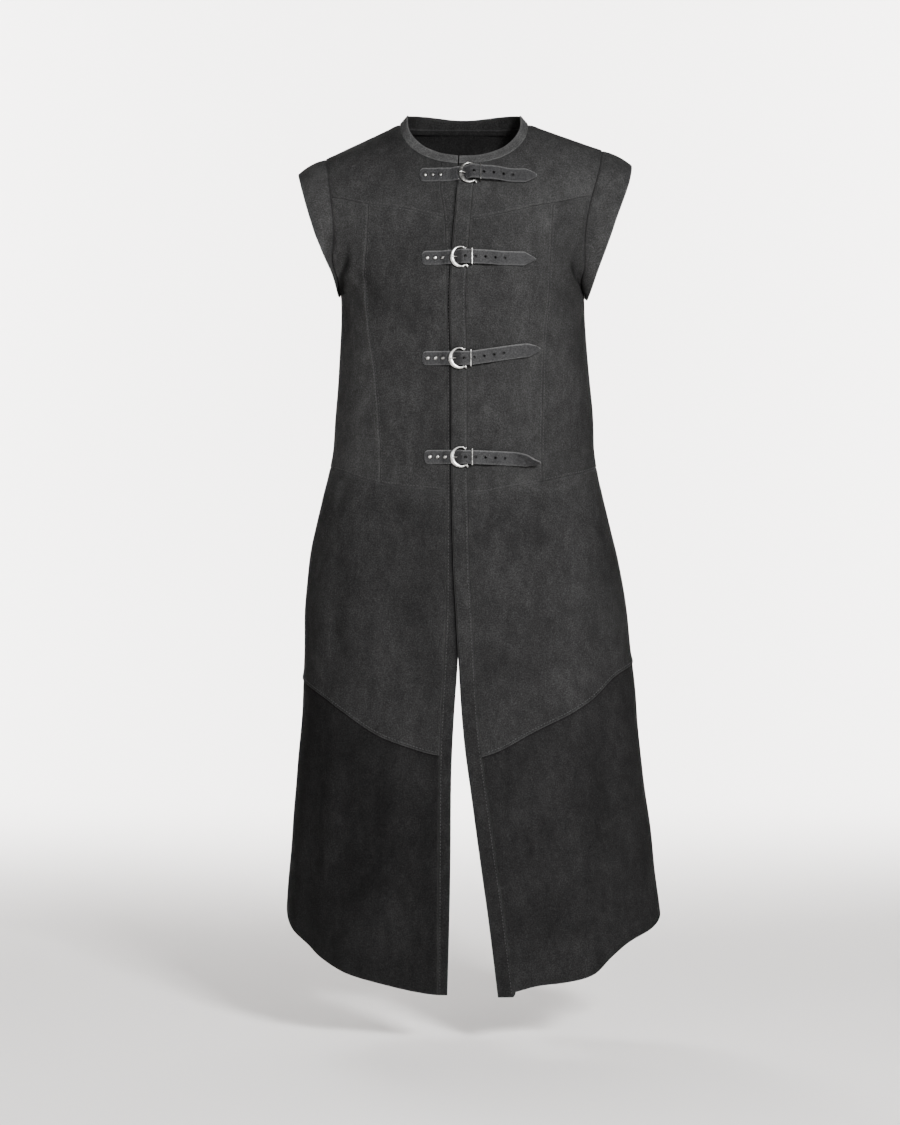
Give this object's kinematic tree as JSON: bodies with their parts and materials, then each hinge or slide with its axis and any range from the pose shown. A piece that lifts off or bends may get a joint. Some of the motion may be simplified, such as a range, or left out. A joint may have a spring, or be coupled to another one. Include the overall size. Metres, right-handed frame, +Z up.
{
  "type": "long suede vest",
  "caption": "Long fitted suede vest with cap sleeves, collar band, A-line skirt open at the front and back, and a row of strap-and-buckle closures.",
  "frame": {"origin": "on the centre line, level with the side neck points, midway between the side seams, where the wearer's shoulders hold the vest", "axes": "+Z up, the front faces -Y, the wearer's left side is +X"},
  "size_m": [0.5104, 0.2854, 1.1885],
  "materials": {
    "suede": "black suede, short matt nap",
    "suede_trim": "black suede strip, folded and stitched",
    "strap_leather": "black smooth-grain leather, satin",
    "antique_metal": "antique silver, cast, darkened in the hollows"
  },
  "bodies": {
    "root": {"back_bodice": "suede", "front_yoke_right": "suede", "front_centre_right": "suede", "front_side_right": "suede", "skirt_upper_front_right": "suede", "skirt_lower_front_right": "suede", "back_skirt_upper_right": "suede", "back_skirt_lower_right": "suede", "front_yoke_left": "suede", "front_centre_left": "suede", "front_side_left": "suede", "skirt_upper_front_left": "suede", "skirt_lower_front_left": "suede", "back_skirt_upper_left": "suede", "back_skirt_lower_left": "suede", "collar_band": "suede_trim", "front_band_right": "suede_trim", "front_band_left": "suede_trim", "cap_sleeve_right": "suede_trim", "cap_sleeve_left": "suede_trim", "strap_1": "strap_leather", "chape_1": "strap_leather", "buckle_1": "antique_metal", "prong_1": "antique_metal", "keeper_1": "antique_metal", "rivet_1_1": "antique_metal", "rivet_1_2": "antique_metal", "rivet_1_3": "antique_metal", "strap_2": "strap_leather", "chape_2": "strap_leather", "buckle_2": "antique_metal", "prong_2": "antique_metal", "keeper_2": "antique_metal", "rivet_2_1": "antique_metal", "rivet_2_2": "antique_metal", "rivet_2_3": "antique_metal", "strap_3": "strap_leather", "chape_3": "strap_leather", "buckle_3": "antique_metal", "prong_3": "antique_metal", "keeper_3": "antique_metal", "rivet_3_1": "antique_metal", "rivet_3_2": "antique_metal", "rivet_3_3": "antique_metal", "strap_4": "strap_leather", "chape_4": "strap_leather", "buckle_4": "antique_metal", "prong_4": "antique_metal", "keeper_4": "antique_metal", "rivet_4_1": "antique_metal", "rivet_4_2": "antique_metal", "rivet_4_3": "antique_metal"}
  },
  "joints": []
}
